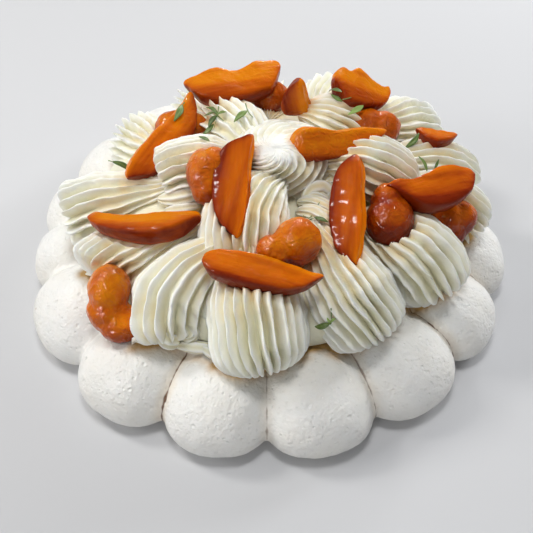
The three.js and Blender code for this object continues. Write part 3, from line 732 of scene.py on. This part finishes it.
# for each wedge, at nine stations from tip to tip: how far its inner edge is cut back, in millimetres, and
# its share of the full depth
WEDGE_OUTLINES = [
    ((1.5, 0.3, -0.2, -1.1, -1.4, -0.8, -0.4, 0.5, -0.5),
     (0.72, 0.93, 0.98, 1, 0.98, 0.93, 0.85, 0.62, 0.16)),
    ((0, 2, 3, 3, 2.5, 1.8, 1.2, 0.6, -0.5), (0.5, 0.7, 0.84, 0.94, 1, 1, 0.92, 0.72, 0.35)),
    ((-1, -1.8, -1.8, -1.3, -1, 0.3, 1.5, 1.5, 0), (0.3, 0.68, 0.88, 0.95, 0.95, 1, 0.88, 0.62, 0.25)),
    ((1.5, 1.2, -0.5, -0.8, 2.2, 1.5, -1.2, -0.5, -1.2), (0.38, 0.75, 0.93, 1, 1, 1, 0.95, 0.85, 0.35)),
    ((0, 0, 0.6, 0, -0.8, -1.3, -1.5, -1.2, -0.3), (0.2, 0.75, 0.95, 1, 1, 0.93, 0.82, 0.6, 0.25)),
    ((1, 0, -0.3, -0.2, -0.3, -0.6, -0.3, 0.2, 1.5), (0.35, 0.72, 0.9, 0.98, 1, 0.98, 0.9, 0.75, 0.32)),
    ((0, -1.2, -1.5, -0.5, 0.3, -0.3, -0.8, -0.3, -0.3), (0.85, 1, 1, 0.95, 0.86, 0.7, 0.52, 0.36, 0.14)),
    ((1.5, 0.2, 1.6, -1.9, 0, 2.2, 3.3, 3.6, 0.6), (0.55, 0.9, 1, 1, 0.96, 0.88, 0.8, 0.72, 0.42)),
    ((-0.5, -0.8, 0.8, 0.2, -1.3, -2.6, -2, -0.4, 0.1), (0.12, 0.45, 0.82, 0.97, 1, 0.98, 0.88, 0.7, 0.34)),
    ((1, 0.5, 0, 0, 0, 0, 0, 0, 0), (0.7, 0.95, 1, 1, 0.93, 0.82, 0.66, 0.46, 0.16)),
    ((0.5, 0, 0.4, 0, 0.5, 0, 0.3, 0, 0), (0.2, 0.6, 0.85, 0.95, 1, 0.9, 0.8, 0.6, 0.2)),
]


def paint_grain(piece, places):
    """Stores where each point lies in the grain of the fruit, which is drawn out along a wedge."""
    grain = piece.data.attributes.new("grain", "FLOAT_VECTOR", "POINT")
    for store, place in zip(grain.data, places):
        store.vector = place


def cut_wedge(number, start, end, skin, depth, width, dark, syrup, edge_line, depth_line):
    start, end = Vector(start), Vector(end)
    axis = (end - start).normalized()
    outward = Vector(skin)
    outward = (outward - axis * outward.dot(axis)).normalized()
    side = axis.cross(outward)
    half_way = len(SECTION) - 1
    wedge = ball(2 * half_way, WEDGE_RINGS)
    wedge.name = f"apricot_slice_{number:02d}"
    rind_and_shade_values = []
    fibres = []
    for vertex in wedge.data.vertices:
        along = vertex.co.z
        turn = round(math.atan2(vertex.co.y, vertex.co.x) / math.pi * half_way) if abs(along) < 0.9999 else 0
        out, thick = SECTION[abs(turn)]
        edge = read_along(edge_line, along)
        deep = depth * read_along(depth_line, along)
        tip = math.sqrt(max(0, 1 - abs(along) ** 10))
        half_deep = max(0.8, deep - edge) / 2 * tip
        half_wide = width / 2 * min(1, half_deep * 2 / depth) ** 0.6 * thick
        reach = (edge + deep) / 2 + half_deep * (2 * out - 1)
        middle = start.lerp(end, (along + 1) / 2)
        aside = math.copysign(half_wide, turn)
        vertex.co = (middle + outward * reach + side * aside) * MM
        # deeper towards the skin, whose darkest colour is painted shade as well as the skin's own
        rind_and_shade_values.append(dark + (1.15 if out > 0.95 else out))
        fibres.append(Vector((GRAIN_DRAWN * along * (end - start).length / 2, reach, aside)) * MM)
    paint(wedge, "rind_and_shade", rind_and_shade_values)
    paint(wedge, "syrupy", syrup)
    paint_grain(wedge, fibres)
    face_outward()
    finish_with(wedge, "SUBSURF", levels=2, render_levels=2)
    roughen(wedge, (11, 1.2), (3.2, 0.3))
    bpy.ops.object.shade_smooth()
    return wedge


# the flesh's colour from the stone, 0, to the skin, 1; its dark end is the colour of skin in shade, so
# it carries painted shade as well, as does each half on its lower and downward sides
FLESH = [
    (0.0, (0.74, 0.215, 0.001, 1)), (0.3, (0.62, 0.13, 0.001, 1)), (0.6, (0.45, 0.076, 0.001, 1)),
    (0.82, (0.32, 0.038, 0.001, 1)), (1.0, (0.2, 0.017, 0.001, 1)),
]
FLESH_MOTTLE = 1.5  # how far the grain shifts a place along that range


def glazed_apricot():
    """Wet flesh, bright at the stone and red brown at the skin, darkened with painted shade at the skin
    and low on the halves, under a clear bumpy glaze.
    """
    material, nodes, fruit = new_material("glazed_apricot")
    adjust(
        fruit, Subsurface_Weight=0.25, Subsurface_Radius=(1.0, 0.3, 0.05), Subsurface_Scale=0.003,
        Specular_IOR_Level=0.04, Coat_IOR=1.38, Roughness=0.4,
    )
    depth = put(nodes, "Attribute", attribute_name="rind_and_shade")
    grain = put(nodes, "Attribute", attribute_name="grain")
    syrupy = put(nodes, "Attribute", attribute_name="syrupy")
    coordinates = put(nodes, "TexCoord")
    patches = put(nodes, "TexNoise", Scale=170.0, Detail=4.0)
    shift = put(nodes, "Math", operation="MULTIPLY_ADD")
    shift.inputs[1].default_value = FLESH_MOTTLE
    shift.inputs[2].default_value = -FLESH_MOTTLE / 2
    place = put(nodes, "Math", operation="ADD", use_clamp=True)
    ramp = put(nodes, "ValToRGB")
    stops = ramp.color_ramp.elements
    stops[0].color, stops[1].color = FLESH[0][1], FLESH[-1][1]
    for position, color in FLESH[1:-1]:
        stops.new(position).color = color
    ripple = put(nodes, "TexNoise", Scale=230.0, Detail=2.0, Distortion=1.2)
    fibre = put(nodes, "TexNoise", Scale=700.0, Detail=2.0)
    thick = spread(nodes, 0.0, 1.0, 0.35, 0.8)
    dull = spread(nodes, 0.0, 1.0, 0.09, 0.06)
    wet = put(nodes, "Bump", Distance=0.0014)
    fine = put(nodes, "Bump", Strength=0.6, Distance=0.0003)
    wire(
        (grain, "Vector", patches, "Vector"), (patches, "Fac", shift, 0), (shift, 0, place, 0),
        (depth, "Fac", place, 1), (place, 0, ramp, "Fac"), (ramp, "Color", fruit, "Base Color"),
        (syrupy, "Fac", thick, "Value"), (thick, "Result", fruit, "Coat Weight"),
        (syrupy, "Fac", dull, "Value"), (dull, "Result", fruit, "Coat Roughness"),
        (syrupy, "Fac", wet, "Strength"), (coordinates, "Object", ripple, "Vector"),
        (ripple, "Fac", wet, "Height"), (grain, "Vector", fibre, "Vector"),
        (fibre, "Fac", fine, "Height"), (wet, "Normal", fine, "Normal"),
        (fine, "Normal", fruit, "Normal"), (wet, "Normal", fruit, "Coat Normal"),
    )
    return material


GLAZED_APRICOT = glazed_apricot()
fruits = []
for number, (row, lines) in enumerate(zip(WEDGES, WEDGE_OUTLINES), start=1):
    wedge = cut_wedge(number, *row, *lines)
    wedge.data.materials.append(GLAZED_APRICOT)
    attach(wedge, "root")
    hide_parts(f"apricot_wedge_{number:02d}")
    fruits.append(wedge)

# ---------------------------------------------------------------- stewed halves
# Eight rounder pieces of apricot, stewed soft, creased along the seam and shiny with syrup. Each is built up
# from rounded lobes that a remesh runs together.

# how dark each piece is, and its lobes: middle and half sizes, in millimetres
HALVES = [
    (0.08, [((-65, -60, 44), (9, 11.5, 9.5)), ((-60, -71, 34.5), (9.5, 8.5, 8)),
            ((-65.5, -67, 37.5), (9, 8.5, 9))]),
    (0.2, [((13, -54, 66), (9.8, 9, 10.5)), ((3.5, -57.5, 64), (7.5, 7, 7.5)), ((12, -53, 60), (8, 7, 8))]),
    (0.2, [((-26, -20, 73), (7.5, 12, 9)), ((-24, -27, 70), (7, 8, 8)), ((-22, -18, 74), (7, 9, 9))]),
    (0.6, [((53, -34, 58), (10.5, 10.5, 11)), ((52.5, -27, 62), (7.5, 8, 8.5))]),
    (0.52, [((82, -22, 47), (8, 8, 8)), ((88, -21, 46), (7.5, 7.5, 8.5)), ((85, -25, 42), (6, 6, 7))]),
    (0.38, [((48, 28, 61), (10, 8, 8)), ((57, 27, 60), (8, 7.5, 8))]),
    (0.4, [((4, 49, 62), (8, 8, 8)), ((-2, 50, 61), (5, 6, 7))]),
    (0.2, [((-43, 29, 58), (10, 9, 9)), ((-34, 28, 58), (7.5, 7, 9))]),
]


def stew_half(number, dark, lobes):
    parts = []
    for middle, half in lobes:
        lobe = ball()
        lobe.scale = Vector(half) * MM
        lobe.location = Vector(middle) * MM
        parts.append(lobe)
    piece = fuse(parts, f"stewed_half_{number:02d}")
    finish_with(piece, "REMESH", mode="VOXEL", voxel_size=0.8 * MM)
    finish_with(piece, "SMOOTH", factor=0.5, iterations=4)
    roughen(piece, (8, 1.6), (3, 0.35))
    heights = [vertex.co.z for vertex in piece.data.vertices]
    bottom, top = min(heights), max(heights)
    # painted shade: each piece darker where it faces down and towards its bottom
    rind_and_shade_values = []
    for vertex in piece.data.vertices:
        low = (top - vertex.co.z) / (top - bottom)
        rind_and_shade_values.append(dark + 0.22 * (1 - vertex.normal.z) + 0.6 * low ** 2)
    paint(piece, "rind_and_shade", rind_and_shade_values)
    paint(piece, "syrupy", 1.0)
    paint_grain(piece, [vertex.co * 0.6 for vertex in piece.data.vertices])
    bpy.ops.object.shade_smooth()
    return piece


for number, (dark, lobes) in enumerate(HALVES, start=1):
    piece = stew_half(number, dark, lobes)
    piece.data.materials.append(GLAZED_APRICOT)
    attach(piece, "root")
    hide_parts(f"apricot_half_{number:02d}")
    fruits.append(piece)

# ---------------------------------------------------------------- where pieces touch
# Syrup has soaked a little way into the cream round the fruit, and the meringue is browner and wetter along
# the edge of the cream. Each is stored as a value that fades with distance from the neighbour.


def trees_of(pieces):
    """Search trees of pieces, for the surface nearest to a point or first along a line."""
    rest = bpy.context.evaluated_depsgraph_get()
    return [BVHTree.FromObject(piece, rest) for piece in pieces]


def paint_nearness(piece, name, trees, fade):
    """Stores 1 where a piece touches what is in the trees, fading to nothing a little way off."""
    values = []
    for vertex in piece.data.vertices:
        found = [tree.find_nearest(vertex.co, 2.5 * fade)[3] for tree in trees]
        distances = [distance for distance in found if distance is not None]
        values.append(math.exp(-((min(distances) / fade) ** 2)) if distances else 0.0)
    paint(piece, name, values)


all_cream = [bed, rosette] + list(shells.values())
PRESS_GAP = 0.3 * MM  # left between a piece of fruit and the cream pushed down under it


def press_under(cream, fruit, above, ahead):
    """Pushes the cream in a piece of fruit, up to some way above it and in front of it, down below it."""
    tree = trees_of([fruit])[0]
    for vertex in cream.data.vertices:
        place = vertex.co + Vector((0, ahead, 0))
        under = tree.ray_cast(Vector((place.x, place.y, 0)), Vector((0, 0, 1)))[0]
        top = tree.ray_cast(Vector((place.x, place.y, 0.2)), Vector((0, 0, -1)))[0]
        if under and top and under.z < vertex.co.z < top.z + above:
            vertex.co.z = under.z - PRESS_GAP


# piece of fruit, the shell under it, and how far above and in front of the fruit the cream is still pressed
# down, in millimetres
PRESSED = [
    (5, "upper_front", 8, 0), (6, "front_right", 8, 0), (1, "front", 3, 0), (9, "right", 4, 0),
    (7, "upper_right", 1, 0), (2, "front_left", 2, 2.5), (2, "left_low", 2, 2.5), (2, "left_low", 2, 0),
    (15, "right", 3, 0), (15, "right", 3, 2), (12, "front_left", 6, 0), (12, "front_left", 3, 2),
]
for number, name, above, ahead in PRESSED:
    press_under(shells[name], fruits[number - 1], above * MM, ahead * MM)
fruit_trees = trees_of(fruits)
cream_trees = trees_of(all_cream)
for piece in all_cream:
    paint_nearness(piece, "near_fruit", fruit_trees, 1.8 * MM)
    paint_nearness(piece, "syrup", fruit_trees, 12 * MM)
    syrup, groove = piece.data.attributes["syrup"].data, piece.data.attributes["groove"].data
    for soaked, depth in zip(syrup, groove):
        soaked.value *= 0.25 + 0.75 * depth.value  # it has run off the ridges into the grooves
paint_nearness(meringue, "near_cream", cream_trees, 3 * MM)

# ---------------------------------------------------------------- thyme
# Loose leaves and small sprigs of fresh thyme: pointed ovals with a sunk midrib and a gently curled edge, on
# thin stems. Each leaf is a grid bent in code and given thickness, and lies on the highest cream or fruit.

LEAF_THICK = 0.3 * MM
LEAF_CLEAR = 0.35 * MM  # from the ends of a leaf to what it lies on
LEAF_MIDDLE_CLEAR = 0.2 * MM
STEM_CLEAR = 0.3 * MM
STEM_RADIUS = 0.27 * MM
STEM_STEPS = 8
STEM_TAPER = 0.4
# what each sprig is laid on; its leaves, as foot, tip, width in millimetres and how pale a green, partly
# its own tone and partly painted sheen; its stems, as points along them
SPRIGS = [
    ("apricot_wedge_03", [((-39, 30, 71), (-42, 19, 70), 3.4, 0.3)], [((-38, 32, 71), (-39, 29.5, 71))]),
    ("cream_shell_upper_back_left",
     [((-22, 25, 70), (-28, 33, 68), 2.4, 0.15), ((-23, 22, 70), (-28.5, 26, 69), 1.6, 0.2),
      ((-22, 23, 70), (-17.5, 20.5, 72), 1.7, 0.45), ((-22, 21, 70), (-26, 16, 69), 2.6, 0.05),
      ((-23.5, 18, 69), (-29, 13.5, 68), 2.3, 0.35)],
     [((-21.5, 27, 70), (-22, 23, 70), (-23.5, 17, 69)), ((-22, 22, 70), (-19, 17, 71))]),
    ("cream_shell_upper_back_left",
     [((-8, 20, 75), (-14, 13, 74), 2.9, 0.5)],
     [((-9, 27, 73), (-7.6, 20.5, 75), (-5.5, 17, 75))]),
    ("cream_shell_upper_left", [((-24, -4, 76), (-29, 0, 76), 1.7, 0.2)], []),
    ("cream_shell_left", [((-70.5, 5.5, 57), (-62, 2, 58), 2.8, 0.2)], [((-72.5, 6.5, 57), (-70, 5.5, 57))]),
    ("apricot_wedge_08",
     [((35.5, 30, 76), (30.5, 37, 76), 2.2, 0.25), ((36, 28, 75), (31, 33, 75), 2.3, 0.4)],
     [((36, 28.5, 75), (40, 29, 74))]),
    ("cream_shell_upper_back", [((46, 29, 69), (38.5, 23, 70), 3.0, 0.8)], []),
    ("cream_shell_right_back", [((65, 11, 60), (72, 20, 59), 2.8, 0.2)], []),
    ("cream_shell_right_back",
     [((74, -1, 57), (70.5, 7, 57), 1.5, 0.35), ((78, 1, 57), (80.5, 7, 56), 1.3, 0.1)], []),
    ("cream_shell_front_right", [((20.5, -38.5, 64), (26, -42, 64), 2.0, 0.12)],
     [((15, -48, 72), (19, -38, 65), (23, -30, 65)), ((18.5, -39.5, 65), (20.5, -38.5, 64))]),
    ("cream_shell_front_right",
     [((26, -79.5, 45), (20, -78, 42), 2.7, 0.2), ((26, -79, 46), (28, -79, 48), 1.2, 0.95),
      ((26, -79.3, 45.4), (24.6, -78, 48.3), 1.0, 0.9)],
     [((26, -76.5, 51.5), (26.6, -78.5, 47.5), (26, -79.5, 45))]),
]


def lay_on(point, facing, lift):
    """Moves a point along a direction until it is a little above the highest surface round about it."""
    across = facing.orthogonal().normalized()
    beside = facing.cross(across)
    heights = []
    for shift in (Vector(), across, -across, beside, -beside):
        start = point + shift * 0.8 * MM + facing * 12 * MM
        for tree in cream_trees + fruit_trees:
            found = tree.ray_cast(start, -facing, 20 * MM)[0]
            if found:
                heights.append((found - point).dot(facing))
    return point + facing * (max(heights, default=0) + lift)


def lay_leaf(foot, tip, facing):
    """Both ends of a leaf on what is under them, raised together until its middle is clear as well."""
    ends = [lay_on(Vector(end) * MM, facing, LEAF_CLEAR) for end in (foot, tip)]
    short = 0.0
    for share in (0.3, 0.5, 0.7):
        middle = ends[0].lerp(ends[1], share)
        short = max(short, (lay_on(middle, facing, LEAF_MIDDLE_CLEAR) - middle).dot(facing))
    return [end + facing * short for end in ends]


def grow_leaf(foot, tip, width, leaf_tone_and_sheen, facing, shake):
    """A pointed oval from foot to tip, folded a little along its midrib, arched and rolled at its edges."""
    rest_all()
    bpy.ops.mesh.primitive_grid_add(x_subdivisions=14, y_subdivisions=6, size=2)
    leaf = bpy.context.object
    forward = tip - foot
    side = facing.cross(forward).normalized()
    upward = forward.cross(side).normalized()
    arch, fold, swerve = shake.uniform(0.05, 0.13), shake.uniform(0.15, 0.4), shake.uniform(-0.12, 0.12)
    ribs = []
    for vertex in leaf.data.vertices:
        along, across = (vertex.co.x + 1) / 2, vertex.co.y
        half = 0.5 * width * MM * max(0.1, math.sin(math.pi * along ** 0.85)) ** 0.85
        bow = math.sin(math.pi * along) * forward.length
        rolled = fold * half * (abs(across) - 1.1 * abs(across) ** 4)
        wave = 0.12 * half * math.sin(9 * along + 2 * across)
        ribs.append(max(0.0, 1 - abs(across) / 0.4))
        aside = across * half + swerve * bow
        vertex.co = foot + forward * along + side * aside + upward * (arch * bow + rolled + wave)
    paint(leaf, "rib", ribs)
    paint(leaf, "leaf_tone_and_sheen", leaf_tone_and_sheen)
    finish_with(leaf, "SOLIDIFY", thickness=LEAF_THICK, offset=0)
    finish_with(leaf, "SUBSURF", levels=1, render_levels=1)
    bpy.ops.object.shade_smooth()
    return leaf


def grow_stem(points):
    """A thin round stem through some points, thinner towards its end."""
    steps = []
    for i in range(STEM_STEPS + 1):
        share = i / STEM_STEPS
        steps.append((read_along(points, 2 * share - 1), 1 - STEM_TAPER * share, 0.0))
    stem = sweep("stem", steps, bevel_depth=STEM_RADIUS, bevel_resolution=3, use_fill_caps=True)
    paint(stem, "rib", 0.6)
    paint(stem, "leaf_tone_and_sheen", 0.35)
    bpy.ops.object.shade_smooth()
    return stem


def fresh_thyme():
    """Soft green, darker or paler from leaf to leaf by its own tone and by painted sheen, with a paler
    midrib and a satin skin.
    """
    material, nodes, green = new_material("fresh_thyme")
    adjust(
        green, Roughness=0.42, Specular_IOR_Level=0.4, Subsurface_Weight=0.15,
        Subsurface_Radius=(0.5, 1.0, 0.2), Subsurface_Scale=0.0005,
    )
    color = mottled_color(nodes, (0.03, 0.07, 0.01, 1), (0.07, 0.12, 0.02, 1), 400.0, 0.5)
    # paler green by each leaf's own tone and by painted sheen
    color = tint_where(nodes, color, "leaf_tone_and_sheen", (0.33, 0.47, 0.14, 1), 1.0)
    color = tint_where(nodes, color, "rib", (0.30, 0.38, 0.12, 1), 0.35)
    coordinates = put(nodes, "TexCoord")
    skin = put(nodes, "TexNoise", Scale=1500.0, Detail=2.0)
    bump = put(nodes, "Bump", Strength=0.4, Distance=0.0001)
    wire(
        (color, "Result", green, "Base Color"), (coordinates, "Object", skin, "Vector"),
        (skin, "Fac", bump, "Height"), (bump, "Normal", green, "Normal"),
    )
    return material


FRESH_THYME = fresh_thyme()
UPWARD = Vector((0, -0.35, 0.94)).normalized()
for number, (host, leaves, stems) in enumerate(SPRIGS, start=1):
    shake = random.Random(number)
    parts = []
    for foot, tip, width, leaf_tone_and_sheen in leaves:
        parts.append(grow_leaf(*lay_leaf(foot, tip, UPWARD), width, leaf_tone_and_sheen, UPWARD, shake))
    for stem in stems:
        parts.append(grow_stem([lay_on(Vector(point) * MM, UPWARD, STEM_CLEAR) for point in stem]))
    sprig = fuse(parts, f"thyme_{number:02d}")
    sprig.data.materials.clear()
    sprig.data.materials.append(FRESH_THYME)
    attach(sprig, "root")
    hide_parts(host)

# ---------------------------------------------------------------- studio
# A plain pale floor and soft light: round lamps all about, strongest at the back left, three panes that only
# show as reflections on wet fruit, and an even pale surround.

rest_all()
bpy.ops.mesh.primitive_plane_add(size=6, location=(0, 0, -0.0003))
floor = bpy.context.object
floor.name = "studio_floor"
paper, _, sheet = new_material("floor_paper")
adjust(sheet, Base_Color=(0.62, 0.62, 0.63, 1), Roughness=0.8)
floor.data.materials.append(paper)


def soft_lamp(name, place, size, power, color, tall=0):
    """A round lamp that shows in no reflection or, if tall, a tall pane that shows in reflections alone."""
    lamp = bpy.data.lights.new(name, "AREA")
    lamp.shape = "RECTANGLE" if tall else "DISK"
    lamp.size = size
    lamp.size_y = tall
    lamp.energy = power
    lamp.color = color
    holder = bpy.data.objects.new(name, lamp)
    bpy.context.collection.objects.link(holder)
    holder.location = place
    holder.rotation_euler = (Vector(MIDDLE) - Vector(place)).to_track_quat("-Z", "Y").to_euler()
    holder.visible_glossy = tall > 0
    holder.visible_diffuse = tall == 0


MIDDLE = (0, 0, 0.04)
WARM, CLEAR, COOL = (1.0, 0.99, 0.965), (0.98, 0.99, 1.0), (0.97, 0.985, 1.0)
# name, place, size, power, colour and, for a pane, how tall it is
LAMPS = [
    ("window", (-0.65, 0.3, 0.8), 0.25, 3.7, WARM), ("left_lamp", (-0.95, -0.1, 0.45), 0.35, 2.3, WARM),
    ("back_lamp", (0.55, 0.8, 0.4), 0.3, 3.0, COOL), ("side_lamp", (0.8, 0.5, 0.4), 0.25, 3.9, COOL),
    ("top_lamp", (0, 0, 1.05), 0.25, 3.75, CLEAR), ("front_lamp", (-0.4, -0.85, 0.55), 0.5, 1.5, CLEAR),
    ("window_pane", (-0.6, 0.25, 0.8), 0.08, 5, (1.0, 0.98, 0.95), 0.3),
    ("back_pane", (0.1, 0.9, 0.62), 0.3, 6, (1.0, 1.0, 1.0), 0.08),
    ("left_pane", (-0.62, -0.5, 0.62), 0.09, 5, (1.0, 1.0, 1.0), 0.45),
]
for lamp_row in LAMPS:
    soft_lamp(*lamp_row)

world = bpy.data.worlds.new("surround")
world.use_nodes = True
adjust(world.node_tree.nodes["Background"], Color=(0.95, 0.97, 1.0, 1), Strength=0.18)
bpy.context.scene.world = world
bpy.context.scene.view_settings.view_transform = "Standard"

CAMERA_DISTANCE = 0.38573
CAMERA_RISE = math.radians(47.29)  # of the line from the origin to the camera
CAMERA_PITCH = math.radians(48.22)  # below the horizontal
CAMERA_YAW = math.radians(0.145)  # to the right
view = bpy.data.cameras.new("camera")
view.lens = 50.66
view.sensor_width = 36
view.clip_start = 0.01
camera = bpy.data.objects.new("camera", view)
bpy.context.collection.objects.link(camera)
camera.location = (0, -CAMERA_DISTANCE * math.cos(CAMERA_RISE), CAMERA_DISTANCE * math.sin(CAMERA_RISE))
camera.rotation_euler = (math.pi / 2 - CAMERA_PITCH, 0, -CAMERA_YAW)
bpy.context.scene.camera = camera
